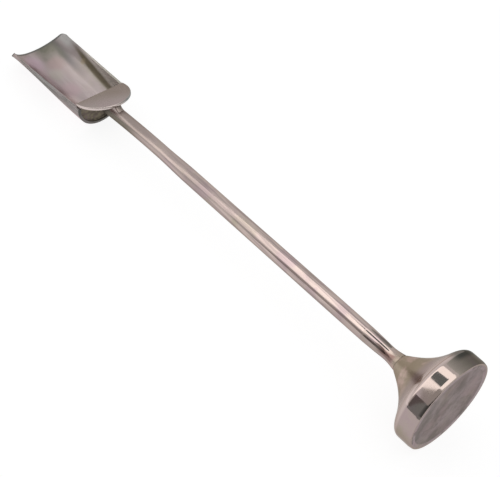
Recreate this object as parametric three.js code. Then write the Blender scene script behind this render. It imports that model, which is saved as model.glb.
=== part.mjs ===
// A cheese scoop: formed blade, guard plate, round stem and trumpet foot.
// Units are millimetres. The stem runs along X with the blade at the low end of X and
// the foot at the high end, the blade opens upwards along Z, and the whole scoop is then
// tipped until it lies on the plane Z = 0 on its foot and on the underside of its blade.
// Places along the stem are measured from the end face of the foot, which is X = 0.

import * as THREE from "three";
import { mergeVertices } from "three/addons/utils/BufferGeometryUtils.js";

// Driving sizes
const SOLDER_GAP = 0.1; // clearance of every soldered joint
const SHEET = 1.1; // sheet of the blade and its end wall
const PLATE_SHEET = 1.2;
const FOOT_SHEET = 1.0;

const BLADE_TIP_X = -230; // corners of the mouth
const BLADE_BACK_X = -187.4;
const MOUTH_HALF_WIDTH = 13.4;
const BACK_HALF_WIDTH = 12.4;
const MOUTH_RIM_Z = -1.2;
const BACK_RIM_Z = 0.2;
const MOUTH_OPENING = 0.94; // half the angle that the section spans at the mouth
const BACK_OPENING = 1.52;
const FLARE_POWER = 1.7; // how soon the mouth's flare gives way to the half round
const MOUTH_BULGE = 3; // how far the middle of the mouth stands ahead of its corners
const MOUTH_CORNER = 1.8; // rounding of the mouth's corners

const WALL_INSET = 0.8; // from the blade's back edge to the end wall

const PLATE_TILT = 0.295;
const PLATE_FRONT_X = -189.9;
const PLATE_RADIUS = 11.8;
const PLATE_CENTRE = 1.2; // from the plate's straight front edge to the middle of its arc

const ARM_RADIUS = 2.78;
const ARM_DROP = 1.7; // the arm is set this far below the stem's axis at the wall
const ARM_BEND_X = -151; // where the drop starts
const ARM_CHAMFER = 1.6; // length of the chamfer that clears the guard plate
const TENON_RADIUS = 1.3;
const SWELL_START_X = -151;
const SWELL_END_X = -135;

const STEM_RADIUS = 3.1;
const STEM_LOWER_RADIUS = 3.23;
const STEM_BORE_RADIUS = 2.1;
const STEM_END_X = -40;
const SPIGOT_LENGTH = 8;

const WAIST_X = -28;
const WAIST_RADIUS = 2.79;
const SEAM_X = -23.5;
const SEAM_RADIUS = 3.4;
const NECK_SPIGOT_LENGTH = 4;

const FOOT_RADIUS = 19.3;
const FLARE_START_SLOPE = 0.6; // rise of the radius along the axis, at the seam
const SHOULDER_START_X = -10.3; // where the flare turns into the shoulder
const SHOULDER_START_RADIUS = 15.2;
const SHOULDER_SLOPE = 1.6; // rise of the radius along the axis, at the shoulder's start
const SHOULDER_START_PULL = 1.25; // along the axis, from each end to its control point
const SHOULDER_END_PULL = 2.3;
const SHOULDER_END_X = -6;
const FOOT_EDGE_LENGTH = 1.7; // along the axis, where the foot's outside falls to its end face
const FOOT_EDGE_FALL = 0.3;
const RIM_RING_WIDTH = 1.5;
const RIM_RING_DEPTH = 1.4;
const DISC_SHEET = 1.2;
const DISC_RECESS = 0.2; // from the ring's face to the disc's
const EDGE_BREAK = 0.25; // small chamfer on turned edges

// Facets
const ROUND_SEGMENTS = 64;
const STEM_SEGMENTS = 40;
const ARC_SEGMENTS = 40;
const BLADE_LENGTH_STEPS = 20;
const BLADE_ACROSS_STEPS = 44;
const BEND_STEPS = 8;
const SWELL_STEPS = 8;
const WAIST_STEPS = 12;
const FLARE_STEPS = 12;
const SHOULDER_STEPS = 8;
const EDGE_STEPS = 3;
const WELD_DISTANCE = 1e-4;

// Helpers

const point = (x, radius) => new THREE.Vector2(radius, x);

// A body of revolution about the X axis from profile points made with point(x, radius).
function turned(profile, segments) {
  const geometry = new THREE.LatheGeometry(profile, segments);
  geometry.rotateZ(-Math.PI / 2);
  return geometry;
}

// A ring's profile has to end where it starts.
const closed = (profile) => [...profile, profile[0].clone()];

// The same profile, moved sideways by a distance along its own normals.
function offsetProfile(profile, distance) {
  return profile.map((here, i) => {
    const before = profile[Math.max(i - 1, 0)];
    const after = profile[Math.min(i + 1, profile.length - 1)];
    const along = after.clone().sub(before).normalize();
    return new THREE.Vector2(
      here.x - along.y * distance,
      here.y + along.x * distance,
    );
  });
}

// Blade

// Half angle, radius and centre height of the blade's outer skin at a place along it.
function bladeSection(x) {
  const share = THREE.MathUtils.clamp(
    (x - BLADE_TIP_X) / (BLADE_BACK_X - BLADE_TIP_X),
    0,
    1,
  );
  const ease = 1 - (1 - share) ** FLARE_POWER;
  const opening = THREE.MathUtils.lerp(MOUTH_OPENING, BACK_OPENING, ease);
  const halfWidth = THREE.MathUtils.lerp(MOUTH_HALF_WIDTH, BACK_HALF_WIDTH, share);
  const rimZ = THREE.MathUtils.lerp(MOUTH_RIM_Z, BACK_RIM_Z, share);
  const radius = halfWidth / Math.sin(opening);
  return { opening, radius, centreZ: rimZ + radius * Math.cos(opening) };
}

// Where the mouth's edge stands, for a place across the blade from -1 to 1.
function mouthX(across) {
  const cornerShare = MOUTH_CORNER / MOUTH_HALF_WIDTH;
  const intoCorner = Math.max(0, (Math.abs(across) - 1 + cornerShare) / cornerShare);
  const rounding = MOUTH_CORNER * (1 - Math.sqrt(Math.max(0, 1 - intoCorner ** 2)));
  return BLADE_TIP_X - MOUTH_BULGE * (1 - across ** 2) + rounding;
}

function scoopBlade() {
  const geometry = new THREE.BoxGeometry(1, 2, 1, BLADE_LENGTH_STEPS, BLADE_ACROSS_STEPS, 1);
  const place = geometry.attributes.position;
  for (let i = 0; i < place.count; i++) {
    const along = place.getX(i) + 0.5;
    const across = Math.sin((place.getY(i) * Math.PI) / 2);
    const depth = place.getZ(i) > 0 ? SHEET : 0;
    const x = THREE.MathUtils.lerp(mouthX(across), BLADE_BACK_X, along);
    const section = bladeSection(x);
    const angle = across * section.opening;
    const radius = section.radius - depth;
    place.setXYZ(
      i,
      x,
      radius * Math.sin(angle),
      section.centreZ - radius * Math.cos(angle),
    );
  }
  return geometry;
}

// End wall

const wallBackX = BLADE_BACK_X - WALL_INSET;
const wallFrontX = wallBackX - SHEET;
const wallTopZ = BACK_RIM_Z + SOLDER_GAP;

function bladeEndWall() {
  const section = bladeSection(wallFrontX);
  const radius = section.radius - SHEET - SOLDER_GAP;
  const topAngle = Math.acos((section.centreZ - wallTopZ) / radius);
  const outline = new THREE.Shape();
  outline.absarc(0, section.centreZ, radius, -Math.PI / 2 - topAngle, -Math.PI / 2 + topAngle, false);
  outline.closePath();
  const hole = new THREE.Path();
  hole.absarc(0, -ARM_DROP, TENON_RADIUS + SOLDER_GAP, 0, 2 * Math.PI, true);
  outline.holes.push(hole);
  const geometry = new THREE.ExtrudeGeometry(outline, {
    depth: SHEET,
    bevelEnabled: false,
    curveSegments: ARC_SEGMENTS,
  });
  geometry.applyMatrix4(
    new THREE.Matrix4().makeBasis(
      new THREE.Vector3(0, 1, 0),
      new THREE.Vector3(0, 0, 1),
      new THREE.Vector3(1, 0, 0),
    ),
  );
  geometry.translate(wallFrontX, 0, 0);
  return geometry;
}

// Guard plate

function guardPlate() {
  const overrun = Math.asin(PLATE_CENTRE / PLATE_RADIUS);
  const outline = new THREE.Shape();
  outline.absarc(
    PLATE_CENTRE,
    0,
    PLATE_RADIUS,
    -Math.PI / 2 - overrun,
    Math.PI / 2 + overrun,
    false,
  );
  outline.closePath();
  const geometry = new THREE.ExtrudeGeometry(outline, {
    depth: PLATE_SHEET,
    bevelEnabled: false,
    curveSegments: ARC_SEGMENTS,
  });
  geometry.rotateY(-PLATE_TILT);
  const seatZ = BACK_RIM_Z + SOLDER_GAP;
  geometry.translate(PLATE_FRONT_X, 0, seatZ);
  return geometry;
}

// Arm

// How far the arm's centre lies below the stem's axis.
function armDrop(x) {
  const share = Math.max(0, (ARM_BEND_X - x) / (ARM_BEND_X - wallBackX));
  return ARM_DROP * share ** 2;
}

function bladeArm() {
  const faceX = wallBackX + SOLDER_GAP;
  const spigotRadius = STEM_BORE_RADIUS - SOLDER_GAP;
  const profile = [
    point(wallFrontX, 0),
    point(wallFrontX, TENON_RADIUS),
    point(faceX, TENON_RADIUS),
    point(faceX, ARM_RADIUS - ARM_CHAMFER / 2),
    point(faceX + ARM_CHAMFER, ARM_RADIUS),
  ];
  for (let i = 1; i <= BEND_STEPS; i++) {
    const x = THREE.MathUtils.lerp(faceX + ARM_CHAMFER, SWELL_START_X, i / BEND_STEPS);
    profile.push(point(x, ARM_RADIUS));
  }
  for (let i = 1; i <= SWELL_STEPS; i++) {
    const share = i / SWELL_STEPS;
    const x = THREE.MathUtils.lerp(SWELL_START_X, SWELL_END_X, share);
    const swell = THREE.MathUtils.smoothstep(share, 0, 1);
    profile.push(point(x, THREE.MathUtils.lerp(ARM_RADIUS, STEM_RADIUS, swell)));
  }
  profile.push(
    point(SWELL_END_X, spigotRadius),
    point(SWELL_END_X + SPIGOT_LENGTH - EDGE_BREAK, spigotRadius),
    point(SWELL_END_X + SPIGOT_LENGTH, spigotRadius - EDGE_BREAK),
    point(SWELL_END_X + SPIGOT_LENGTH, 0),
  );
  const geometry = turned(profile, STEM_SEGMENTS);
  const place = geometry.attributes.position;
  for (let i = 0; i < place.count; i++) {
    place.setZ(i, place.getZ(i) - armDrop(place.getX(i)));
  }
  return geometry;
}

// Stem

function stemTube() {
  const startX = SWELL_END_X + SOLDER_GAP;
  return turned(
    closed([
      point(startX, STEM_BORE_RADIUS),
      point(startX, STEM_RADIUS),
      point(STEM_END_X, STEM_LOWER_RADIUS),
      point(STEM_END_X, STEM_BORE_RADIUS),
    ]),
    STEM_SEGMENTS,
  );
}

// Neck

const neckBoreRadius = SEAM_RADIUS - FOOT_SHEET;

function neckCollar() {
  const startX = STEM_END_X + SOLDER_GAP;
  const upperSpigot = STEM_BORE_RADIUS - SOLDER_GAP;
  const lowerSpigot = neckBoreRadius - SOLDER_GAP;
  const waist = new THREE.SplineCurve([
    point(startX, STEM_LOWER_RADIUS),
    point((startX + WAIST_X) / 2, (STEM_LOWER_RADIUS + WAIST_RADIUS) / 2),
    point(WAIST_X, WAIST_RADIUS),
    point(SEAM_X, SEAM_RADIUS),
  ]);
  return turned(
    [
      point(startX - SPIGOT_LENGTH, 0),
      point(startX - SPIGOT_LENGTH, upperSpigot - EDGE_BREAK),
      point(startX - SPIGOT_LENGTH + EDGE_BREAK, upperSpigot),
      point(startX, upperSpigot),
      ...waist.getPoints(WAIST_STEPS),
      point(SEAM_X, lowerSpigot),
      point(SEAM_X + NECK_SPIGOT_LENGTH - EDGE_BREAK, lowerSpigot),
      point(SEAM_X + NECK_SPIGOT_LENGTH, lowerSpigot - EDGE_BREAK),
      point(SEAM_X + NECK_SPIGOT_LENGTH, 0),
    ],
    STEM_SEGMENTS,
  );
}

// Foot

const footBoreRadius = FOOT_RADIUS - FOOT_SHEET;

function footShell() {
  const startX = SEAM_X + SOLDER_GAP;
  const neckEndX = SEAM_X + NECK_SPIGOT_LENGTH;
  const third = (SHOULDER_START_X - startX) / 3;
  const flare = new THREE.CubicBezierCurve(
    point(startX, SEAM_RADIUS),
    point(startX + third, SEAM_RADIUS + third * FLARE_START_SLOPE),
    point(SHOULDER_START_X - third, SHOULDER_START_RADIUS - third * SHOULDER_SLOPE),
    point(SHOULDER_START_X, SHOULDER_START_RADIUS),
  );
  const shoulder = new THREE.CubicBezierCurve(
    point(SHOULDER_START_X, SHOULDER_START_RADIUS),
    point(
      SHOULDER_START_X + SHOULDER_START_PULL,
      SHOULDER_START_RADIUS + SHOULDER_START_PULL * SHOULDER_SLOPE,
    ),
    point(SHOULDER_END_X - SHOULDER_END_PULL, FOOT_RADIUS),
    point(SHOULDER_END_X, FOOT_RADIUS),
  );
  const endEdge = new THREE.QuadraticBezierCurve(
    point(-FOOT_EDGE_LENGTH, FOOT_RADIUS),
    point(-FOOT_EDGE_LENGTH / 2, FOOT_RADIUS),
    point(0, FOOT_RADIUS - FOOT_EDGE_FALL),
  );
  const outside = [
    ...flare.getPoints(FLARE_STEPS),
    ...shoulder.getPoints(SHOULDER_STEPS).slice(1),
  ];
  const inside = offsetProfile(outside, FOOT_SHEET).filter(
    (p) => p.x > neckBoreRadius && p.y > neckEndX && p.x < footBoreRadius,
  );
  return turned(
    closed([
      ...outside,
      ...endEdge.getPoints(EDGE_STEPS),
      point(0, footBoreRadius),
      point(SHOULDER_END_X, footBoreRadius),
      ...inside.reverse(),
      point(neckEndX, neckBoreRadius),
      point(startX, neckBoreRadius),
    ]),
    ROUND_SEGMENTS,
  );
}

const ringOuterRadius = footBoreRadius - SOLDER_GAP;
const ringInnerRadius = ringOuterRadius - RIM_RING_WIDTH;

function footRimRing() {
  return turned(
    closed([
      point(-RIM_RING_DEPTH, ringOuterRadius),
      point(0, ringOuterRadius),
      point(0, ringInnerRadius + EDGE_BREAK),
      point(-EDGE_BREAK, ringInnerRadius),
      point(-RIM_RING_DEPTH, ringInnerRadius),
    ]),
    ROUND_SEGMENTS,
  );
}

function baseDisc() {
  const radius = ringInnerRadius - SOLDER_GAP;
  return turned(
    [
      point(-DISC_RECESS - DISC_SHEET, 0),
      point(-DISC_RECESS - DISC_SHEET, radius),
      point(-DISC_RECESS, radius),
      point(-DISC_RECESS, 0),
    ],
    ROUND_SEGMENTS,
  );
}

// Assembly

const SILVER = 0xb9aca3;
const DULL_SILVER = 0x9d928d;

function piece(name, geometry, colour, roughness) {
  const merged = mergeVertices(geometry, WELD_DISTANCE);
  merged.computeVertexNormals();
  const material = new THREE.MeshStandardMaterial({
    color: colour,
    metalness: 1,
    roughness,
  });
  const mesh = new THREE.Mesh(merged, material);
  mesh.name = name;
  return mesh;
}

const scoop = new THREE.Group();
scoop.name = "cheese_scoop";
scoop.add(
  piece("scoop_blade", scoopBlade(), SILVER, 0.3),
  piece("blade_end_wall", bladeEndWall(), SILVER, 0.35),
  piece("guard_plate", guardPlate(), SILVER, 0.35),
  piece("blade_arm", bladeArm(), SILVER, 0.2),
  piece("stem_tube", stemTube(), SILVER, 0.2),
  piece("neck_collar", neckCollar(), SILVER, 0.2),
  piece("foot_shell", footShell(), SILVER, 0.25),
  piece("foot_rim_ring", footRimRing(), SILVER, 0.35),
  piece("base_disc", baseDisc(), DULL_SILVER, 0.5),
);

// The slope of a line from the foot's shoulder to the blade's underside at a place along it.
function supportSlope(x) {
  const section = bladeSection(x);
  const bladeLowZ = section.centreZ - section.radius;
  return Math.atan2(FOOT_RADIUS + bladeLowZ, SHOULDER_END_X - x);
}

// The scoop lies on the foot's shoulder and on the place of the blade with the least slope.
let restTilt = supportSlope(BLADE_BACK_X);
for (let i = 0; i < BLADE_LENGTH_STEPS; i++) {
  const x = THREE.MathUtils.lerp(BLADE_TIP_X, BLADE_BACK_X, i / BLADE_LENGTH_STEPS);
  restTilt = Math.min(restTilt, supportSlope(x));
}
scoop.rotation.y = -restTilt;
scoop.updateMatrixWorld(true);
const bounds = new THREE.Box3().setFromObject(scoop, true);
const middle = bounds.getCenter(new THREE.Vector3());
scoop.position.set(-middle.x, -middle.y, -bounds.min.z);

const part = new THREE.Group();
part.add(scoop);

export default part;
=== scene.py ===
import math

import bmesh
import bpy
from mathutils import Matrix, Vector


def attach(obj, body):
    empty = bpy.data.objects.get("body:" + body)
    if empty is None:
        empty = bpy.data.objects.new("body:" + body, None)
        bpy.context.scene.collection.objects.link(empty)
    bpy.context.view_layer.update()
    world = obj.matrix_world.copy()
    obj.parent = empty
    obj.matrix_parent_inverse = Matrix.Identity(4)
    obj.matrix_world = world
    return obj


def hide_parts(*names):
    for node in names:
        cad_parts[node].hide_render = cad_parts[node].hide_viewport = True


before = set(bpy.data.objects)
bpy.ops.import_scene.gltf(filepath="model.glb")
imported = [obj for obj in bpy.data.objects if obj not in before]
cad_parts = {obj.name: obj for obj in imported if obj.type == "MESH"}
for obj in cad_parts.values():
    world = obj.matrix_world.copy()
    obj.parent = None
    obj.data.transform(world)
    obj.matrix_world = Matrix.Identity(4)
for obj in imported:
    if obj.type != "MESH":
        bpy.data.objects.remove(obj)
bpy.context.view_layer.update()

# The looks of the cheese scoop.
# Shapes are written in millimetres along the stem: X = 0 is the end face of the foot, the
# blade is at the low end of X and opens upwards along Z. The function placed() carries a
# point from there into the frame, in metres, where the scoop lies tipped on the floor.

MM = 0.001

# Sizes shared with the solids

SOLDER_GAP = 0.1
SHEET = 1.1
PLATE_SHEET = 1.2
FOOT_SHEET = 1.0

BLADE_TIP_X = -230
BLADE_BACK_X = -187.4
MOUTH_HALF_WIDTH = 13.4
BACK_HALF_WIDTH = 12.4
MOUTH_RIM_Z = -1.2
BACK_RIM_Z = 0.2
MOUTH_OPENING = 0.94
BACK_OPENING = 1.52
FLARE_POWER = 1.7
MOUTH_BULGE = 3
MOUTH_CORNER = 1.8

WALL_INSET = 0.8

PLATE_TILT = 0.295
PLATE_FRONT_X = -189.9
PLATE_RADIUS = 11.8
PLATE_CENTRE = 1.2

ARM_RADIUS = 2.78
ARM_DROP = 1.7
ARM_BEND_X = -151
ARM_CHAMFER = 1.6
TENON_RADIUS = 1.3
SWELL_START_X = -151
SWELL_END_X = -135

STEM_RADIUS = 3.1
STEM_LOWER_RADIUS = 3.23
STEM_BORE_RADIUS = 2.1
STEM_END_X = -40
SPIGOT_LENGTH = 8

WAIST_X = -28
WAIST_RADIUS = 2.79
SEAM_X = -23.5
SEAM_RADIUS = 3.4
NECK_SPIGOT_LENGTH = 4

FOOT_RADIUS = 19.3
FLARE_START_SLOPE = 0.6
SHOULDER_START_X = -10.3
SHOULDER_START_RADIUS = 15.2
SHOULDER_SLOPE = 1.6
SHOULDER_START_PULL = 1.25
SHOULDER_END_PULL = 2.3
SHOULDER_END_X = -6
FOOT_EDGE_LENGTH = 1.7
FOOT_EDGE_FALL = 0.3
RIM_RING_WIDTH = 1.5
RIM_RING_DEPTH = 1.4
DISC_SHEET = 1.2
DISC_RECESS = 0.2
EDGE_BREAK = 0.25

# How the stem's axes lie in the frame

REST_TILT = 0.0404444
SHIFT_X = 115.881
SHIFT_Z = 19.53

# Sizes of the finer detail

SKIN_INSET = 0.005  # keeps the foot's finer curves inside the solid's box
SHEET_ROUND = 0.3  # rounding of the blade's and the plate's edges
RING_ROUND = 0.12
STEM_EASE = 0.06  # how far the stem's end is eased in, so that it flows into the neck
STEM_EASE_X = -62
NECK_FIRST_STEP = (1.5, 0.015)  # the neck's first step, along and inwards
DISC_EDGE = ((0.2, 0), (0.5, 0.8), (1, 2.4))  # shares of the recess, at distances from the ring
CORNER_LIFT = (0.7, 0.4)  # curl of the mouth's near and far corner, upwards
CORNER_SPREAD = (0.9, 0)  # and outwards
CORNER_SWELL = (0.8, 0)  # how much thicker the sheet is in each corner, as a share
CORNER_CURL_LENGTH = 5
CORNER_CURL_POWER = 8  # how closely the curl keeps to the corners
SOLDER_FILLET = 0.7
SOLDER_HOLLOW = 0.25  # how far the fillet's face stands off its corner, as a share
PLATE_SOLDER_BACK = 0.2  # past the end wall
PLATE_SOLDER_FRONT = 0.05  # behind the plate's straight edge
PLATE_SOLDER_SIDE = 0.3  # inside the plate's round edge
ARM_SOLDER_RECESS = 1.5  # from the plate's round edge to the solder under it
ARM_SOLDER_SLOPE = 3
ARM_SOLDER_BELLY = (0.4, 0.7)  # a point of the slope, as shares of its length and its drop
ARM_SOLDER_WIDTH = 3.2
ARM_SOLDER_ROUND = 0.7

# How finely the shapes are divided

TURNED_SEGMENTS = 256
STEM_SEGMENTS = 96
FLARE_STEPS = 48
SHOULDER_STEPS = 32
ROUND_STEPS = 6
EDGE_SEGMENTS = 3
WAIST_STEPS = 14
STEM_STEPS = 60
ARM_BEND_STEPS = 40
ARM_SWELL_STEPS = 32
PLATE_STEPS = 120
WALL_STEPS = 96
BLADE_LENGTH_STEPS = 96
BLADE_ACROSS_STEPS = 120
CREASE_ANGLE = math.radians(32)
WELD_DISTANCE = 1e-3

# Camera, worked out from the photo

CAMERA_PLACE = (0.225854, -0.283739, 0.393841)
CAMERA_TURN = (41.7329, -9.9743, 47.4386)
CAMERA_LENS = 100.475
CAMERA_SENSOR = 36
CAMERA_CLIP = (0.01, 20)


# Placing and helpers for shapes

TILT_COS = math.cos(REST_TILT)
TILT_SIN = math.sin(REST_TILT)


def lerp(a, b, share):
    """The value at a share of the way from a to b."""
    return a + (b - a) * share


def smooth(share):
    """The same share, easing in and out."""
    return share * share * (3 - 2 * share)


def placed(x, y, z):
    """A point of the stem's own axes, in millimetres, as a point of the frame, in metres."""
    along = TILT_COS * x - TILT_SIN * z + SHIFT_X
    up = TILT_SIN * x + TILT_COS * z + SHIFT_Z
    return Vector((along, y, up)) * MM


def to_mesh(name, points, faces):
    """A smooth shaded object from points along the stem's axes."""
    mesh = bpy.data.meshes.new(name)
    mesh.from_pydata([placed(*p) for p in points], [], faces)
    shape = bmesh.new()
    shape.from_mesh(mesh)
    bmesh.ops.remove_doubles(shape, verts=shape.verts, dist=WELD_DISTANCE * MM)
    bmesh.ops.recalc_face_normals(shape, faces=shape.faces)
    shape.to_mesh(mesh)
    shape.free()
    mesh.shade_smooth()
    mesh.set_sharp_from_angle(angle=CREASE_ANGLE)
    piece = bpy.data.objects.new(name, mesh)
    bpy.context.scene.collection.objects.link(piece)
    return piece


def turned(name, profile, segments, bend=None):
    """A body of revolution about the stem's axis from (x, radius) pairs.

    The profile runs from axis to axis, or round a ring back to where it starts.
    """
    ring = profile[0][1] > 0
    points = []
    for x, radius in profile:
        for i in range(segments):
            angle = 2 * math.pi * i / segments
            drop = bend(x) if bend else 0
            points.append((x, radius * math.cos(angle), radius * math.sin(angle) - drop))
    faces = []
    rows = len(profile)
    for row in range(rows if ring else rows - 1):
        after = (row + 1) % rows
        for i in range(segments):
            j = (i + 1) % segments
            faces.append(
                (
                    row * segments + i,
                    row * segments + j,
                    after * segments + j,
                    after * segments + i,
                )
            )
    return to_mesh(name, points, faces)


def bezier(a, b, c, d, steps):
    """Points of a cubic curve between a and d."""
    found = []
    for i in range(steps + 1):
        t = i / steps
        u = 1 - t
        weights = (u**3, 3 * u * u * t, 3 * u * t * t, t**3)
        found.append(
            tuple(sum(w * p[k] for w, p in zip(weights, (a, b, c, d))) for k in (0, 1))
        )
    return found


def corner(before, at, after, radius):
    """A rounded corner: points from the side towards before to the side towards after."""
    at = Vector(at)
    start = at + (Vector(before) - at).normalized() * radius
    end = at + (Vector(after) - at).normalized() * radius
    found = []
    for i in range(ROUND_STEPS + 1):
        t = i / ROUND_STEPS
        p = start * (1 - t) ** 2 + at * 2 * t * (1 - t) + end * t * t
        found.append((p.x, p.y))
    return found


def offset(profile, distance):
    """The same profile, moved inwards by a distance along its own normals."""
    found = []
    for i, (x, radius) in enumerate(profile):
        x0, r0 = profile[max(i - 1, 0)]
        x1, r1 = profile[min(i + 1, len(profile) - 1)]
        length = math.hypot(x1 - x0, r1 - r0)
        found.append(
            (x + (r1 - r0) / length * distance, radius - (x1 - x0) / length * distance)
        )
    return found


def catmull(points, steps):
    """A smooth curve through points, as a list with steps points between neighbours."""
    padded = [points[0]] + list(points) + [points[-1]]
    found = []
    for i in range(len(points) - 1):
        p0, p1, p2, p3 = padded[i : i + 4]
        for j in range(steps):
            t = j / steps
            found.append(
                tuple(
                    0.5
                    * (
                        2 * p1[k]
                        + (p2[k] - p0[k]) * t
                        + (2 * p0[k] - 5 * p1[k] + 4 * p2[k] - p3[k]) * t * t
                        + (3 * p1[k] - p0[k] - 3 * p2[k] + p3[k]) * t**3
                    )
                    for k in (0, 1)
                )
            )
    return found + [tuple(points[-1])]


def slab(name, outline, low, high, place):
    """A flat piece from an outline of (u, v) pairs, between two heights."""
    count = len(outline)
    points = [place(u, v, low) for u, v in outline]
    points += [place(u, v, high) for u, v in outline]
    faces = [tuple(range(count)), tuple(range(count, 2 * count))]
    for i in range(count):
        j = (i + 1) % count
        faces.append((i, j, count + j, count + i))
    return to_mesh(name, points, faces)


def round_edges(piece, size):
    """Rounds the sharp edges of a piece and keeps it smooth shaded."""
    bevel = piece.modifiers.new("rounded_edges", "BEVEL")
    bevel.limit_method = "ANGLE"
    bevel.angle_limit = CREASE_ANGLE
    bevel.width = size * MM
    bevel.segments = EDGE_SEGMENTS
    bevel.use_clamp_overlap = True
    bpy.context.view_layer.objects.active = piece
    with bpy.context.temp_override(object=piece, active_object=piece):
        bpy.ops.object.modifier_apply(modifier=bevel.name)
    piece.data.shade_smooth()
    piece.data.set_sharp_from_angle(angle=CREASE_ANGLE)
    return piece


# Foot

FOOT_BORE = FOOT_RADIUS - FOOT_SHEET
NECK_BORE = SEAM_RADIUS - FOOT_SHEET
RING_RADIUS = FOOT_BORE - SOLDER_GAP


def foot_outside(start_x, skin_radius):
    """The foot's outer line, from the seam over the flare and the shoulder to its drum."""
    third = (SHOULDER_START_X - start_x) / 3
    flare = bezier(
        (start_x, SEAM_RADIUS),
        (start_x + third, SEAM_RADIUS + third * FLARE_START_SLOPE),
        (SHOULDER_START_X - third, SHOULDER_START_RADIUS - third * SHOULDER_SLOPE),
        (SHOULDER_START_X, SHOULDER_START_RADIUS),
        FLARE_STEPS,
    )
    shoulder = bezier(
        (SHOULDER_START_X, SHOULDER_START_RADIUS),
        (
            SHOULDER_START_X + SHOULDER_START_PULL,
            SHOULDER_START_RADIUS + SHOULDER_START_PULL * SHOULDER_SLOPE,
        ),
        (SHOULDER_END_X - SHOULDER_END_PULL, skin_radius),
        (SHOULDER_END_X, skin_radius),
        SHOULDER_STEPS,
    )
    return flare + shoulder[1:]


def foot_edge(skin_radius):
    """The end of the drum, which falls in a little before its rounded corner."""
    edge_radius = skin_radius - FOOT_EDGE_FALL
    end_edge = bezier(
        (-FOOT_EDGE_LENGTH, skin_radius),
        (-FOOT_EDGE_LENGTH * 2 / 3, skin_radius),
        (-FOOT_EDGE_LENGTH / 3, edge_radius + FOOT_EDGE_FALL / 2),
        (0, edge_radius),
        ROUND_STEPS * 2,
    )
    end_corner = corner(end_edge[-2], end_edge[-1], (0, FOOT_BORE), RING_ROUND)
    return end_edge[:-2] + end_corner


def foot_shell():
    """The spun trumpet, hollow inside."""
    skin_radius = FOOT_RADIUS - SKIN_INSET
    start_x = SEAM_X + SOLDER_GAP
    neck_end = SEAM_X + NECK_SPIGOT_LENGTH
    outside = foot_outside(start_x, skin_radius)
    inside = [
        (x, radius)
        for x, radius in offset(outside, FOOT_SHEET)
        if radius > NECK_BORE and x > neck_end and radius < FOOT_BORE
    ]
    profile = (
        outside
        + foot_edge(skin_radius)
        + [(0, FOOT_BORE), (SHOULDER_END_X, FOOT_BORE)]
        + inside[::-1]
        + [(neck_end, NECK_BORE), (start_x, NECK_BORE)]
    )
    return turned("foot_shell_polished", profile, TURNED_SEGMENTS)


def foot_rim_ring():
    """The flat ring inside the foot's mouth."""
    inner = RING_RADIUS - RIM_RING_WIDTH
    profile = [(-RIM_RING_DEPTH, FOOT_BORE), (0, FOOT_BORE)]
    profile += corner((0, FOOT_BORE), (0, inner), (-RIM_RING_DEPTH, inner), RING_ROUND)
    profile += [(-RIM_RING_DEPTH, inner)]
    return turned("foot_rim_ring_worn", profile, TURNED_SEGMENTS)


def base_disc():
    """The disc that closes the foot, dished a little below the ring."""
    radius = RING_RADIUS - RIM_RING_WIDTH
    back_x = -DISC_RECESS - DISC_SHEET
    profile = [(back_x, 0), (back_x, radius)]
    profile += [(-DISC_RECESS * share, radius - inwards) for share, inwards in DISC_EDGE]
    profile += [(-DISC_RECESS, 0)]
    return turned("base_disc_dull", profile, TURNED_SEGMENTS)


# Neck, stem and arm


def neck_collar():
    """The waisted neck, with a spigot at each end."""
    start_x = STEM_END_X
    start_radius = STEM_LOWER_RADIUS - STEM_EASE
    step, drop = NECK_FIRST_STEP
    upper = STEM_BORE_RADIUS - SOLDER_GAP
    lower = NECK_BORE - SOLDER_GAP
    end_x = SEAM_X + NECK_SPIGOT_LENGTH
    waist = catmull(
        [
            (start_x, start_radius),
            (start_x + step, start_radius - drop),
            ((start_x + WAIST_X) / 2, (STEM_LOWER_RADIUS + WAIST_RADIUS) / 2),
            (WAIST_X, WAIST_RADIUS),
            (SEAM_X, SEAM_RADIUS),
        ],
        WAIST_STEPS,
    )
    profile = (
        [
            (start_x - SPIGOT_LENGTH, 0),
            (start_x - SPIGOT_LENGTH, upper - EDGE_BREAK),
            (start_x - SPIGOT_LENGTH + EDGE_BREAK, upper),
            (start_x, upper),
        ]
        + waist
        + [
            (SEAM_X, lower),
            (end_x - EDGE_BREAK, lower),
            (end_x, lower - EDGE_BREAK),
            (end_x, 0),
        ]
    )
    return turned("neck_collar_polished", profile, STEM_SEGMENTS)


def stem_tube():
    """The plain tube, which grows a little towards the foot."""
    profile = [(SWELL_END_X, STEM_BORE_RADIUS)]
    for i in range(STEM_STEPS + 1):
        x = lerp(SWELL_END_X, STEM_END_X, i / STEM_STEPS)
        ease = max(0, (x - STEM_EASE_X) / (STEM_END_X - STEM_EASE_X)) ** 2
        radius = lerp(STEM_RADIUS, STEM_LOWER_RADIUS, i / STEM_STEPS)
        profile.append((x, radius - STEM_EASE * ease))
    profile.append((STEM_END_X, STEM_BORE_RADIUS))
    return turned("stem_tube_polished", profile, STEM_SEGMENTS)


WALL_BACK_X = BLADE_BACK_X - WALL_INSET
WALL_FRONT_X = WALL_BACK_X - SHEET
SEAT_Z = BACK_RIM_Z + SOLDER_GAP  # where the guard plate rests


def arm_drop(x):
    """How far the arm's axis lies below the stem's at a place along it."""
    share = max(0, (ARM_BEND_X - x) / (ARM_BEND_X - WALL_BACK_X))
    return ARM_DROP * share**2


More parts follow.
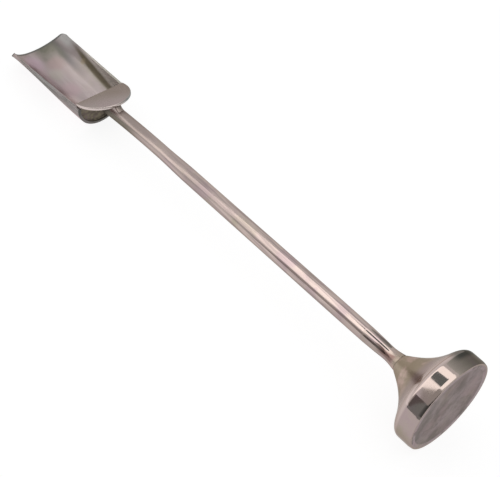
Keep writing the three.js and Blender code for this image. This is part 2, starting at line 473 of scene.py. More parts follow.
def blade_arm():
    """The thinner front of the stem, bent down to the blade, with a tenon and a spigot."""
    face_x = WALL_BACK_X + SOLDER_GAP
    spigot = STEM_BORE_RADIUS - SOLDER_GAP
    profile = [
        (WALL_FRONT_X, 0),
        (WALL_FRONT_X, TENON_RADIUS),
        (face_x, TENON_RADIUS),
        (face_x, ARM_RADIUS - ARM_CHAMFER / 2),
        (face_x + ARM_CHAMFER, ARM_RADIUS),
    ]
    for i in range(1, ARM_BEND_STEPS + 1):
        x = lerp(face_x + ARM_CHAMFER, SWELL_START_X, i / ARM_BEND_STEPS)
        profile.append((x, ARM_RADIUS))
    for i in range(1, ARM_SWELL_STEPS + 1):
        share = i / ARM_SWELL_STEPS
        x = lerp(SWELL_START_X, SWELL_END_X, share)
        profile.append((x, lerp(ARM_RADIUS, STEM_RADIUS, smooth(share))))
    end_x = SWELL_END_X + SPIGOT_LENGTH
    profile += [
        (SWELL_END_X, spigot),
        (end_x - EDGE_BREAK, spigot),
        (end_x, spigot - EDGE_BREAK),
        (end_x, 0),
    ]
    return turned("blade_arm_polished", profile, STEM_SEGMENTS, bend=arm_drop)


# Blade


def blade_section(x):
    """Half angle, radius and centre height of the blade's outer skin at a place along it."""
    share = min(1, max(0, (x - BLADE_TIP_X) / (BLADE_BACK_X - BLADE_TIP_X)))
    ease = 1 - (1 - share) ** FLARE_POWER
    opening = lerp(MOUTH_OPENING, BACK_OPENING, ease)
    half_width = lerp(MOUTH_HALF_WIDTH, BACK_HALF_WIDTH, share)
    rim_z = lerp(MOUTH_RIM_Z, BACK_RIM_Z, share)
    radius = half_width / math.sin(opening)
    return opening, radius, rim_z + radius * math.cos(opening)


def mouth_x(across):
    """Where the mouth's edge is, for a place across it from -1 to 1."""
    corner_share = MOUTH_CORNER / MOUTH_HALF_WIDTH
    into_corner = max(0, (abs(across) - 1 + corner_share) / corner_share)
    rounding = MOUTH_CORNER * (1 - math.sqrt(max(0, 1 - into_corner**2)))
    return BLADE_TIP_X - MOUTH_BULGE * (1 - across**2) + rounding


def blade_point(share, across, depth):
    """A point of the sheet, at a share of its length, a place across it and a depth in it."""
    x = lerp(mouth_x(across), BLADE_BACK_X, share)
    opening, radius, centre_z = blade_section(x)
    angle = across * opening
    curl = max(0, 1 - (x - BLADE_TIP_X) / CORNER_CURL_LENGTH) ** 2 * across**CORNER_CURL_POWER
    side = 0 if across < 0 else 1
    radius -= depth * (1 + CORNER_SWELL[side] * curl)
    y = radius * math.sin(angle) + math.copysign(CORNER_SPREAD[side], across) * curl
    z = centre_z - radius * math.cos(angle) + CORNER_LIFT[side] * curl
    return x, y, z


def scoop_blade():
    """The formed sheet: a grid of outer and inner points, joined round its edge."""
    rows, columns = BLADE_LENGTH_STEPS, BLADE_ACROSS_STEPS
    points = []
    for depth in (0, SHEET):
        for i in range(rows + 1):
            for j in range(columns + 1):
                across = math.sin((2 * j / columns - 1) * math.pi / 2)
                points.append(blade_point(i / rows, across, depth))
    layer = (rows + 1) * (columns + 1)

    def at(i, j, side):
        return side * layer + i * (columns + 1) + j

    faces = []
    for i in range(rows):
        for j in range(columns):
            for side in (0, 1):
                faces.append(
                    (
                        at(i, j, side),
                        at(i + 1, j, side),
                        at(i + 1, j + 1, side),
                        at(i, j + 1, side),
                    )
                )
    for j in range(columns):
        for i in (0, rows):
            faces.append((at(i, j, 0), at(i, j + 1, 0), at(i, j + 1, 1), at(i, j, 1)))
    for i in range(rows):
        for j in (0, columns):
            faces.append((at(i, j, 0), at(i + 1, j, 0), at(i + 1, j, 1), at(i, j, 1)))
    return round_edges(to_mesh("scoop_blade_formed", points, faces), SHEET_ROUND)


def blade_end_wall():
    """The half-round wall across the back of the blade."""
    _, outer_radius, centre_z = blade_section(WALL_FRONT_X)
    radius = outer_radius - SHEET
    top_angle = math.acos((centre_z - SEAT_Z) / radius)
    outline = []
    for i in range(WALL_STEPS + 1):
        angle = lerp(-top_angle, top_angle, i / WALL_STEPS)
        outline.append((radius * math.sin(angle), centre_z - radius * math.cos(angle)))
    return slab(
        "blade_end_wall_dull", outline, WALL_FRONT_X, WALL_BACK_X, lambda u, v, w: (w, u, v)
    )


def wall_solder():
    """The fillet of solder in the corner between the end wall and the blade."""
    _, outer_radius, centre_z = blade_section(WALL_BACK_X)
    radius = outer_radius - SHEET
    end_angle = math.acos((centre_z - BACK_RIM_Z) / radius)
    hollow = SOLDER_FILLET * SOLDER_HOLLOW
    corners = (
        (WALL_BACK_X - SOLDER_GAP, radius + SOLDER_GAP),
        (WALL_BACK_X + SOLDER_FILLET, radius + SOLDER_GAP),
        (WALL_BACK_X + hollow, radius - hollow),
        (WALL_BACK_X - SOLDER_GAP, radius - SOLDER_FILLET),
    )
    count = len(corners)
    points = []
    for i in range(WALL_STEPS + 1):
        angle = lerp(-end_angle, end_angle, i / WALL_STEPS)
        for x, r in corners:
            points.append((x, r * math.sin(angle), centre_z - r * math.cos(angle)))
    faces = [tuple(range(count)), tuple(range(WALL_STEPS * count, (WALL_STEPS + 1) * count))]
    for i in range(WALL_STEPS):
        for k in range(count):
            j = (k + 1) % count
            faces.append(
                (i * count + k, i * count + j, (i + 1) * count + j, (i + 1) * count + k)
            )
    return to_mesh("wall_solder_dull", points, faces)


def guard_plate():
    """The half-round plate over the back of the blade, tilted up towards the stem."""
    overrun = math.asin(PLATE_CENTRE / PLATE_RADIUS)
    outline = []
    for i in range(PLATE_STEPS + 1):
        angle = lerp(-math.pi / 2 - overrun, math.pi / 2 + overrun, i / PLATE_STEPS)
        outline.append(
            (PLATE_CENTRE + PLATE_RADIUS * math.cos(angle), PLATE_RADIUS * math.sin(angle))
        )
    tilt_c, tilt_s = math.cos(PLATE_TILT), math.sin(PLATE_TILT)

    def place(u, v, w):
        return (
            PLATE_FRONT_X + tilt_c * u - tilt_s * w,
            v,
            SEAT_Z + tilt_s * u + tilt_c * w,
        )

    return round_edges(slab("guard_plate_satin", outline, 0, PLATE_SHEET, place), SHEET_ROUND)


def plate_under_z(x):
    """Height of the guard plate's underside at a place along the scoop."""
    return SEAT_Z + math.tan(PLATE_TILT) * (x - PLATE_FRONT_X)


def crosswise(u, v, w):
    """Places a slab whose outline is seen from the side."""
    return u, w, v


def plate_solder():
    """The solder that fills the wedge between the guard plate and the sheet under it."""
    front_x = PLATE_FRONT_X + PLATE_SOLDER_FRONT
    back_x = WALL_BACK_X + PLATE_SOLDER_BACK
    half = PLATE_RADIUS - PLATE_SOLDER_SIDE
    low_z = BACK_RIM_Z - SOLDER_GAP
    outline = [
        (front_x, low_z),
        (back_x, low_z),
        (back_x, plate_under_z(back_x)),
        (front_x, SEAT_Z),
    ]
    return slab("plate_solder_dull", outline, -half, half, crosswise)


def arm_solder():
    """The solder between the top of the arm and the underside of the guard plate."""
    start_x = WALL_BACK_X + SOLDER_GAP
    plate_end_x = PLATE_FRONT_X + (PLATE_CENTRE + PLATE_RADIUS) * math.cos(PLATE_TILT)
    top_x = plate_end_x - ARM_SOLDER_RECESS
    top_z = plate_under_z(top_x)
    foot_x = top_x + ARM_SOLDER_SLOPE
    foot_z = ARM_RADIUS - arm_drop(foot_x)
    along, down = ARM_SOLDER_BELLY
    outline = [
        (start_x, -ARM_DROP),
        (start_x, plate_under_z(WALL_BACK_X)),
        (top_x, top_z),
        (lerp(top_x, foot_x, along), lerp(top_z, foot_z, down)),
        (foot_x, foot_z - SOLDER_GAP),
        (foot_x, -ARM_DROP),
    ]
    half = ARM_SOLDER_WIDTH / 2
    piece = slab("arm_solder_bright", outline, -half, half, crosswise)
    return round_edges(piece, ARM_SOLDER_ROUND)


# Materials

# Directions in which the places of marks are measured

ALONG = (1, 0, 0)
ASIDE = (0, 1, 0)
UP = (0, 0, 1)
LOWER_LEFT = (0, -0.866, 0.5)  # the side of the neck that shows at the photo's lower left
ARM_UP = (-0.055, 0, 1)  # square to the top of the bent arm
LINE_MOUTH = (0.125, 1, 0)  # near side of the blade's leaning dark line, by the mouth
LINE_BACK = (0.043, 1, 0)  # and by the back
LINE_FAR = (0.055, 1, 0)  # far side of that line


class Nodes:
    """A short way to write a material's nodes."""

    def __init__(self, name):
        self.material = bpy.data.materials.new(name)
        self.material.use_nodes = True
        self.tree = self.material.node_tree
        self.shader = self.tree.nodes["Principled BSDF"]
        self.place = self.add("ShaderNodeTexCoord").outputs["Object"]

    def add(self, kind, **values):
        node = self.tree.nodes.new(kind)
        for key, value in values.items():
            setattr(node, key, value)
        return node

    def link(self, source, target):
        self.tree.links.new(source, target)

    def noise(self, scale, detail=3.0, roughness=0.5, stretch=(1, 1, 1), shift=0.0):
        """Noise over the piece; a stretch below 1 draws it out along that axis."""
        mapping = self.add("ShaderNodeMapping")
        mapping.inputs["Scale"].default_value = stretch
        mapping.inputs["Location"].default_value = (shift, shift, shift)
        self.link(self.place, mapping.inputs["Vector"])
        noise = self.add("ShaderNodeTexNoise")
        noise.inputs["Scale"].default_value = scale
        noise.inputs["Detail"].default_value = detail
        noise.inputs["Roughness"].default_value = roughness
        self.link(mapping.outputs["Vector"], noise.inputs["Vector"])
        return noise.outputs["Fac"]

    def ramp(self, source, low, high, start=0.0, end=1.0):
        """Maps low..high of a value to start..end, smoothly."""
        node = self.add("ShaderNodeMapRange", interpolation_type="SMOOTHSTEP")
        node.inputs["From Min"].default_value = low
        node.inputs["From Max"].default_value = high
        node.inputs["To Min"].default_value = start
        node.inputs["To Max"].default_value = end
        self.link(source, node.inputs["Value"])
        return node.outputs["Result"]

    def mix(self, share, a, b):
        """A colour between a and b, which are colours or outputs."""
        node = self.add("ShaderNodeMix", data_type="RGBA")
        self.link(share, node.inputs["Factor"])
        sockets = [i for i in node.inputs if i.type == "RGBA"]
        for value, socket in zip((a, b), sockets):
            if isinstance(value, tuple):
                socket.default_value = (*value, 1)
            else:
                self.link(value, socket)
        return [o for o in node.outputs if o.type == "RGBA"][0]

    def times(self, a, b):
        node = self.add("ShaderNodeMath", operation="MULTIPLY")
        self.link(a, node.inputs[0])
        self.link(b, node.inputs[1])
        return node.outputs[0]

    def plus(self, a, b):
        node = self.add("ShaderNodeMath", operation="ADD")
        self.link(a, node.inputs[0])
        self.link(b, node.inputs[1])
        return node.outputs[0]

    def run(self, direction, bulge=0.0):
        """The distance along a direction of the stem's axes, in mm from the foot's end.

        bulge bends the lines of equal distance along the width, in 1/mm.
        """
        x, y, z = direction
        axis = Vector((TILT_COS * x - TILT_SIN * z, y, TILT_SIN * x + TILT_COS * z))
        zero = axis.dot(placed(0, 0, 0))
        dot = self.add("ShaderNodeVectorMath", operation="DOT_PRODUCT")
        dot.inputs[1].default_value = axis
        self.link(self.place, dot.inputs[0])
        scaled = self.add("ShaderNodeMath", operation="MULTIPLY_ADD")
        scaled.inputs[1].default_value = 1 / MM
        scaled.inputs[2].default_value = -zero / MM
        self.link(dot.outputs["Value"], scaled.inputs[0])
        if not bulge:
            return scaled.outputs[0]
        width = self.run(ASIDE)
        bent = self.add("ShaderNodeMath", operation="MULTIPLY_ADD")
        bent.inputs[1].default_value = -bulge
        self.link(self.times(width, width), bent.inputs[0])
        self.link(scaled.outputs[0], bent.inputs[2])
        return bent.outputs[0]

    def span(self, direction, low, high, start=0.0, end=1.0, bulge=0.0):
        """A value from start to end between two places along a direction, in mm."""
        return self.ramp(self.run(direction, bulge), low, high, start, end)

    def away(self, point, low, high, start=0.0, end=1.0):
        """A value from start to end between two distances from a point, in mm."""
        node = self.add("ShaderNodeVectorMath", operation="DISTANCE")
        node.inputs[1].default_value = placed(*point)
        self.link(self.place, node.inputs[0])
        return self.ramp(node.outputs["Value"], low * MM, high * MM, start, end)

    def bump(self, height, strength, distance, before=None):
        """A bent normal from a height, on top of the one before it."""
        node = self.add("ShaderNodeBump")
        node.inputs["Strength"].default_value = strength
        node.inputs["Distance"].default_value = distance
        self.link(height, node.inputs["Height"])
        if before is not None:
            self.link(before, node.inputs["Normal"])
        return node.outputs["Normal"]


# Tones of the metal, of its tarnish, and of the light and shade painted on it

SILVER = (0.385, 0.318, 0.292)
MAUVE = (0.375, 0.285, 0.3)
OLIVE = (0.33, 0.3, 0.225)
UMBER = (0.2, 0.16, 0.13)
MOSS = (0.14, 0.137, 0.107)
# painted shade on the arm's underside near the blade
ARM_UNDERSIDE_SHADE = (0.165, 0.147, 0.122)
# painted highlight on the guard plate's round edge
PLATE_EDGE_HIGHLIGHT = (0.52, 0.45, 0.425)
SCRATCHED = (0.25, 0.2, 0.2)
EDGE_TINT = (0.62, 0.58, 0.55, 1)

FLARE_WARM = (0.48, 0.365, 0.32)
FLARE_OLIVE = (0.325, 0.267, 0.205)
# painted highlight on the foot's shoulder
SHOULDER_HIGHLIGHT = (0.5, 0.41, 0.385)
# painted dark reflection on the far side of the foot's shoulder
SHOULDER_DARK = (0.14, 0.135, 0.125)
# painted dark reflection along the neck's near side
NECK_DARK_REFLECTION = (0.2, 0.125, 0.11)

FACE_LIGHT = (0.36, 0.305, 0.315)
FACE_DARK = (0.16, 0.145, 0.135)
FACE_FLECK = (0.17, 0.155, 0.145)
FACE_NEAR = (0.185, 0.175, 0.17)
RING_DARK = (0.16, 0.15, 0.14)

# tarnish at the arm's joint, with painted shade under the guard plate
ARM_DULL = (0.29, 0.24, 0.22)
# painted highlight on the arm's top near the blade
ARM_TOP_HIGHLIGHT = (0.47, 0.4, 0.375)

STREAK_LIGHT = (0.43, 0.375, 0.37)
# painted light on the trough's near slope
TROUGH_PINK = (0.63, 0.49, 0.52)
TROUGH_OLIVE = (0.36, 0.335, 0.28)
# painted light along the top of the far slope
STRIP_LIGHT = (0.62, 0.58, 0.54)
# painted light in the mouth's far corner
CORNER_LIGHT = (0.52, 0.51, 0.5)
FAR_GREY = (0.15, 0.14, 0.14)
# painted light along the far rim
FAR_RIM_LIGHT = (0.42, 0.4, 0.36)
# painted shade in a leaning line along the far slope
LINE_SHADE = (0.15, 0.13, 0.09)
NEAR_GREY = (0.27, 0.27, 0.262)
# painted shade just inside the near rim
NEAR_BAND = (0.2, 0.205, 0.19)
NEAR_FLECK = (0.17, 0.17, 0.16)
LIP_DARK = (0.12, 0.12, 0.112)
# painted dark reflection on the sheet's back edge
BACK_DARK = (0.1, 0.1, 0.09)

WALL_LUMP = (0.19, 0.165, 0.12)
# painted shade on the end wall, towards its far side
WALL_DARK = (0.05, 0.043, 0.035)
# the guard plate's round edge on the far side, without the painted highlight
PLATE_EDGE_FAR = (0.27, 0.28, 0.275)


def flare_hollow(n):
    """The hollow of the foot's flare, which a cloth doesn't reach."""
    into = n.span(ALONG, -30, -22)
    out = n.span(ALONG, -11, -6.5, 1, 0)
    return n.times(into, out)


def flare_stain_and_painted_light(n, colour):
    """A warm tone in the flare's hollow, a painted highlight on the shoulder, a painted dark
    reflection on the shoulder's far side and a brown line of painted dark reflection in the
    neck.
    """
    into = n.span(ALONG, -30, -22)
    out = n.span(ALONG, -15, -11, 1, 0)
    warm = n.ramp(n.noise(130, 3, 0.6, shift=1.9), 0.42, 0.58)
    tone = n.mix(warm, FLARE_WARM, FLARE_OLIVE)
    colour = n.mix(n.times(into, out), colour, tone)
    # a painted highlight on the shoulder's near side and top
    lit_shoulder = n.times(n.span(ALONG, -12, -9), n.span(ALONG, -7, -6, 1, 0))
    lit_shoulder = n.times(lit_shoulder, n.span(ASIDE, -1, 7, 1, 0))
    colour = n.mix(lit_shoulder, colour, SHOULDER_HIGHLIGHT)
    # a painted dark reflection on the shoulder's far side
    far_shoulder_reflection = n.times(n.span(ALONG, -12, -8.5), n.span(ASIDE, 0, 5))
    far_shoulder_reflection = n.times(far_shoulder_reflection, n.span(ALONG, -5.5, -3.5, 0.9, 0))
    colour = n.mix(far_shoulder_reflection, colour, SHOULDER_DARK)
    # a brown line of painted dark reflection along the neck's near side
    lower_left = n.times(n.span(LOWER_LEFT, 2.4, 2.7), n.span(UP, -0.3, 0.9))
    neck_line = n.times(n.span(ALONG, -34, -30), n.span(ALONG, -26, -24, 0.9, 0))
    return n.mix(n.times(lower_left, neck_line), colour, NECK_DARK_REFLECTION)


def face_stain(n, colour):
    """The blotches of the foot's flat face."""
    light = n.ramp(n.noise(80, 3, 0.5, shift=4.4), 0.4, 0.62, 0, 0.7)
    colour = n.mix(light, colour, FACE_LIGHT)
    dark = n.ramp(n.noise(120, 3, 0.55, shift=8.1), 0.48, 0.7, 0, 0.6)
    colour = n.mix(dark, colour, FACE_DARK)
    fine = n.ramp(n.noise(420, 3, 0.6, shift=6.3), 0.5, 0.66, 0, 0.4)
    colour = n.mix(fine, colour, FACE_FLECK)
    return n.mix(n.span(ASIDE, -17, -7, 0.5, 0), colour, FACE_NEAR)


def ring_stain(n, colour):
    """Dark marks of wear on the foot's rim."""
    marks = n.ramp(n.noise(190, 4, 0.6, shift=3.3), 0.52, 0.64, 0, 0.75)
    return n.mix(marks, colour, RING_DARK)


def arm_end(n):
    """The stretch of the arm beside the blade, which is duller."""
    return n.span(ALONG, -180, -164, 1, 0)


def arm_tarnish_and_painted_light(n, colour):
    """The arm near the blade: darker with tarnish and painted shade, with painted shade along
    its underside and a painted highlight strip above.
    """
    # darker towards the blade: tarnish at the joint and painted shade under the guard plate
    near = n.span(ALONG, -172, -148, 1, 0)
    colour = n.mix(near, colour, ARM_DULL)
    # painted shade along the arm's underside near the blade
    closer = n.span(ALONG, -171, -162, 1, 0)
    under = n.span(ARM_UP, 9.9, 10.6, 1, 0)
    colour = n.mix(n.times(closer, under), colour, ARM_UNDERSIDE_SHADE)
    # a painted highlight strip along the top of the arm
    shoulder = n.times(n.span(ARM_UP, 10.7, 11.2), n.span(ASIDE, -1.9, -1.3, 1, 0))
    shoulder = n.times(shoulder, n.span(ALONG, -172, -164, 1, 0))
    return n.mix(shoulder, colour, ARM_TOP_HIGHLIGHT)


def blade_rims(n):
    """The worn strip along the blade's two rims, which also bounds the far rim's painted light.
    """
    slope = (BACK_RIM_Z - MOUTH_RIM_Z) / (BLADE_BACK_X - BLADE_TIP_X)
    rim_z = BACK_RIM_Z - slope * BLADE_BACK_X
    return n.span((-slope, 0, 1), rim_z - 4.5, rim_z - 2.5)


# Each spot is a place in the trough, the distance at which it has faded, and a colour.
TROUGH_SPOTS = (
    ((-225.8, -5.3, -6.5), 6, (0.44, 0.325, 0.385)),
    ((-222, 3.1, -7.7), 5, (0.35, 0.262, 0.255)),
    ((-217.2, 0, -8.7), 4.5, (0.36, 0.33, 0.295)),
    ((-207.5, -0.5, -9.7), 6, (0.42, 0.305, 0.325)),
    # painted light: a light spot on the near slope by the back, where the guard plate shades it
    ((-201, -5.5, -9.2), 7, (0.75, 0.6, 0.6)),
    ((-213.4, 10.4, -3.5), 1.8, (0.3, 0.25, 0.17)),
)


def trough_streaks_and_painted_light(n, colour):
    """Fine light streaks, and pink painted light on the near slope."""
    grain = n.noise(420, 3, 0.55, stretch=(0.12, 1, 1), shift=6.6)
    colour = n.mix(n.ramp(grain, 0.45, 0.6, 0, 0.35), colour, STREAK_LIGHT)
    # pink painted light on the near slope
    inside = n.span(ASIDE, -12.2, -10.5)
    low_side = n.times(inside, n.span(ASIDE, -8.5, -1, 0.9, 0))
    low_side = n.times(low_side, n.span(ALONG, -229, -221))
    return n.mix(low_side, colour, TROUGH_PINK)


def far_slope_tone_and_painted_light(n, colour):
    """The far slope: olive, with a strip and a corner of painted light, and a grey band."""
    slope = n.times(n.span(ASIDE, 8.5, 10.5), n.span(ALONG, -222, -205))
    colour = n.mix(slope, colour, TROUGH_OLIVE)
    # a strip of painted light along the top of the far slope
    strip = n.times(n.span(LINE_FAR, -0.4, 0.1), n.span(ALONG, -221, -212))
    colour = n.mix(strip, colour, STRIP_LIGHT)
    # painted light in the mouth's far corner
    light = n.times(n.span(ASIDE, 9.5, 11.5), n.span(ALONG, -226, -219, 1, 0))
    colour = n.mix(light, colour, CORNER_LIGHT)
    grey = n.times(n.span(ASIDE, 6, 7.8), n.span(ALONG, -224, -206, 1, 0.25))
    grey = n.times(grey, n.span(ASIDE, 8, 10.5, 1, 0.3))
    return n.mix(grey, colour, FAR_GREY)


def mouth_moss_and_rim_light(n, colour):
    """A mossy cloud behind the mouth's edge, and painted light along the far rim."""
    mouth = n.span(ALONG, -228, -217, 1, 0)
    cloud = n.ramp(n.noise(120, 3, 0.5, shift=2.2), 0.3, 0.6, 0.6, 1.0)
    across = n.times(n.span(ASIDE, -3, 3), n.span(ASIDE, 7.5, 10, 1, 0))
    colour = n.mix(n.times(n.times(mouth, cloud), across), colour, MOSS)
    # painted light along the far rim
    rim = n.times(blade_rims(n), n.span(ASIDE, 9, 10.5))
    return n.mix(n.times(rim, n.span(ALONG, -216, -194)), colour, FAR_RIM_LIGHT)


def trough_shade_line_and_spots(n, colour):
    """The dark line of painted shade along the far slope, and the spots."""
    # a leaning line of painted shade along the far slope
    line = n.times(n.span(LINE_MOUTH, -16.4, -15.8), n.span(LINE_BACK, 0.7, 1.4))
    line = n.times(line, n.span(LINE_FAR, -0.4, 0.1, 1, 0))
    line = n.times(line, n.span(ALONG, -226, -214, 0, 0.95))
    line = n.times(line, n.span(ALONG, -202, -190, 1, 0.7))
    colour = n.mix(line, colour, LINE_SHADE)
    for place, size, tone in TROUGH_SPOTS:
        colour = n.mix(n.away(place, size / 3, size, 0.6, 0), colour, tone)
    return colour


def near_rim_grey_and_shade(n, colour):
    """The near rim and the slope just inside it, greyed and finely flecked, with a band of
    painted shade inside the rim.
    """
    grain = n.noise(1300, 3, 0.6, stretch=(0.08, 1, 1), shift=9.3)
    flecks = n.times(n.ramp(grain, 0.48, 0.58, 0, 0.6), n.span(ASIDE, -12, -10.8, 1, 0))
    greyed = n.times(n.span(ASIDE, -12, -10.8, 0.8, 0), n.span(ALONG, -222, -214))
    greyed = n.times(greyed, n.span(ALONG, -209, -199, 1, 0.45))
    colour = n.mix(greyed, colour, NEAR_GREY)
    # a band of painted shade just inside the near rim
    band = n.times(n.span(ASIDE, -12, -11), n.span(ASIDE, -9, -7, 0.7, 0))
    band = n.times(band, n.span(ALONG, -222, -215))
    band = n.times(band, n.span(ALONG, -210, -202, 1, 0))
    colour = n.mix(band, colour, NEAR_BAND)
    return n.mix(flecks, colour, NEAR_FLECK)


def dark_edges(n, colour):
    """The dark edges of the sheet: at the mouth, and at the back a painted dark reflection."""
    bulge = MOUTH_BULGE / MOUTH_HALF_WIDTH**2
    front_x = BLADE_TIP_X - MOUTH_BULGE
    lip = n.span(ALONG, front_x + 0.5, front_x + 1.2, 0.85, 0, bulge)
    colour = n.mix(lip, colour, LIP_DARK)
    # the back edge darkened: a painted dark reflection
    back = n.span(ALONG, BLADE_BACK_X - 0.5, BLADE_BACK_X - 0.3, 0, 0.85)
    return n.mix(back, colour, BACK_DARK)


def blade_stain_and_painted_light(n, colour):
    """The scoop's worn trough, from its middle out to its edges, with the light and shade
    painted on it.
    """
    colour = trough_streaks_and_painted_light(n, colour)
    colour = far_slope_tone_and_painted_light(n, colour)
    colour = mouth_moss_and_rim_light(n, colour)
    colour = trough_shade_line_and_spots(n, colour)
    colour = near_rim_grey_and_shade(n, colour)
    return dark_edges(n, colour)


def wall_soot_and_shade(n, colour):
    """Lumps of solder and soot on the end wall, with painted shade, darkest from beside the arm
    out to the far side.
    """
    lumps = n.ramp(n.noise(500, 2, 0.5, shift=2.9), 0.45, 0.6)
    colour = n.mix(lumps, colour, WALL_LUMP)
    # painted shade, darker from beside the arm out to the far side
    return n.mix(n.span(ASIDE, -1, 4, 0, 0.7), colour, WALL_DARK)


def plate_painted_edge(n, colour):
    """The plate's round edge, with a painted highlight on the near side and dull on the far
    one.
    """
    centre_x = PLATE_FRONT_X + PLATE_CENTRE * math.cos(PLATE_TILT)
    centre_z = SEAT_Z + PLATE_CENTRE * math.sin(PLATE_TILT)
    # a painted highlight along the round edge, dulled on the far side
    edge = n.away((centre_x, 0, centre_z), PLATE_RADIUS - 0.25, PLATE_RADIUS - 0.05)
    colour = n.mix(edge, colour, PLATE_EDGE_HIGHLIGHT)
    return n.mix(n.times(edge, n.span(ASIDE, 0, 5)), colour, PLATE_EDGE_FAR)


MATT_ROUGHNESS = 0.25  # how much rougher the matt places are
SCRATCH_DEPTH = 0.02
WAVE_DEPTH = 0.2
WAVE_STRENGTH = 0.2


def silver(
    name,
    tone=SILVER,
    patches=0.5,
    rough=(0.1, 0.2),
    grain=0.15,
    dots=0.3,
    streak=0.0,
    stains_and_light=None,
    matt=None,
):
    """Polished silver gone soft and warm with use: patches of tarnish, fine scratches.

    The colour function changes the colour in places, with stains and with painted light and
    shade, and matt gives the places that are rougher.
    """
    n = Nodes(name)
    patch = n.ramp(n.noise(90, 4, 0.55), 0.42, 0.66)
    colour = n.mix(n.ramp(patch, 0, 1, 0, patches), tone, MAUVE)
    greener = n.ramp(n.noise(70, 4, 0.6, shift=3.1), 0.5, 0.72, 0, patches)
    colour = n.mix(greener, colour, OLIVE)
    if streak:
        lines = n.noise(850, 3, 0.6, stretch=(0.035, 1, 1), shift=4.9)
        colour = n.mix(n.ramp(lines, 0.46, 0.6, 0, streak), colour, SCRATCHED)
    if stains_and_light:
        colour = stains_and_light(n, colour)
    specks = n.ramp(n.noise(1400, 2, 0.5, shift=1.7), 0.68, 0.78, 0, dots)
    colour = n.mix(specks, colour, UMBER)
    n.link(colour, n.shader.inputs["Base Color"])
    n.shader.inputs["Metallic"].default_value = 1
    n.shader.inputs["Specular Tint"].default_value = EDGE_TINT
    roughness = n.ramp(n.noise(160, 5, 0.6, shift=5.3), 0.3, 0.7, *rough)
    if matt:
        roughness = n.plus(roughness, n.ramp(matt(n), 0, 1, 0, MATT_ROUGHNESS))
    n.link(roughness, n.shader.inputs["Roughness"])
    scratches = n.noise(900, 3, 0.6, stretch=(0.06, 1, 1))
    scratched = n.bump(scratches, grain, SCRATCH_DEPTH * MM)
    waves = n.noise(55, 2, 0.4, shift=7.7)
    wavy = n.bump(waves, WAVE_STRENGTH, WAVE_DEPTH * MM, scratched)
    n.link(wavy, n.shader.inputs["Normal"])
    return n.material


def finish_piece(piece, material, slot, *nodes):
    """Gives a piece its material and the nodes that it stands for; the slot is not used."""
    piece.data.materials.clear()
    piece.data.materials.append(material)
    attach(piece, "root")
    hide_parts(*nodes)


polished = silver(
    "polished_silver",
    tone=(0.45, 0.37, 0.34),
    patches=0.7,
    rough=(0.05, 0.13),
    streak=0.6,
)
arm_silver = silver(
    "arm_silver",
    tone=(0.405, 0.333, 0.31),
    patches=0.5,
    streak=0.4,
    stains_and_light=arm_tarnish_and_painted_light,
    matt=arm_end,
)
foot_silver = silver(
    "foot_silver",
    patches=0.6,
    rough=(0.05, 0.11),
    stains_and_light=flare_stain_and_painted_light,
    matt=flare_hollow,
)
worn = silver(
    "worn_silver",
    tone=(0.345, 0.295, 0.292),
    patches=0.25,
    rough=(0.3, 0.4),
    grain=0.04,
    dots=0.1,
    stains_and_light=blade_stain_and_painted_light,
    matt=blade_rims,
)
satin = silver(
    "satin_silver",
    tone=(0.33, 0.284, 0.268),
    patches=0.3,
    rough=(0.2, 0.28),
    grain=0.04,
    dots=0.1,
    stains_and_light=plate_painted_edge,
)
edge_dull = silver(
    "rim_silver",
    tone=(0.4, 0.335, 0.355),
    patches=0.6,
    rough=(0.38, 0.5),
    stains_and_light=ring_stain,
)
dull = silver(
    "dull_silver",
    tone=(0.265, 0.222, 0.218),
    patches=0.6,
    rough=(0.4, 0.55),
    stains_and_light=face_stain,
)
# The end wall's near black tone is painted shade under the guard plate, with some soot.
soot_and_shade = silver(
    "soot_and_shade_silver",
    tone=(0.12, 0.1, 0.08),
    patches=0.3,
    rough=(0.4, 0.6),
    stains_and_light=wall_soot_and_shade,
)

finish_piece(scoop_blade(), worn, "silver", "scoop_blade")
finish_piece(blade_end_wall(), soot_and_shade, "silver", "blade_end_wall")
finish_piece(wall_solder(), soot_and_shade, "silver")
finish_piece(guard_plate(), satin, "silver", "guard_plate")
finish_piece(plate_solder(), satin, "silver")
finish_piece(arm_solder(), arm_silver, "silver")
finish_piece(blade_arm(), arm_silver, "silver", "blade_arm")
finish_piece(stem_tube(), polished, "silver", "stem_tube")
finish_piece(neck_collar(), foot_silver, "silver", "neck_collar")
finish_piece(foot_shell(), foot_silver, "silver", "foot_shell")
finish_piece(foot_rim_ring(), edge_dull, "silver", "foot_rim_ring")
finish_piece(base_disc(), dull, "dull_silver", "base_disc")


# Floor, light and camera, in metres

FLOOR_HALF = 3.0
FLOOR_TONE = (0.3, 0.3, 0.3, 1)
FLOOR_GLOW = 0.84
WORLD_STRENGTH = 0.6
WHITE = (1, 1, 1, 1)

LIGHT_HEIGHT = 0.52
LIGHT_GAP = 0.005  # from the window to the card over its hole
LOW_HEIGHT = 0.0005  # cards that lie on the floor
FAR_Y = 0.3
FAR_HEIGHT = 0.65
NEAR_Y = -0.6
NEAR_HEIGHT = 0.32
HOLE_ROUND = 0.055
NEAR_FLOOR_ROUND = 0.09
COOL = (0.95, 1, 1)
GREENISH = (0.95, 1, 0.96)


def seen_or_mirrored(tree):
    """1 for rays from the camera and for rays off metal or through glass."""
    path = tree.nodes.new("ShaderNodeLightPath")
    total = path.outputs["Is Camera Ray"]
    for name in ("Is Glossy Ray", "Is Transmission Ray"):
        larger = tree.nodes.new("ShaderNodeMath")
        larger.operation = "MAXIMUM"
        tree.links.new(total, larger.inputs[0])
        tree.links.new(path.outputs[name], larger.inputs[1])
        total = larger.outputs[0]
    return total


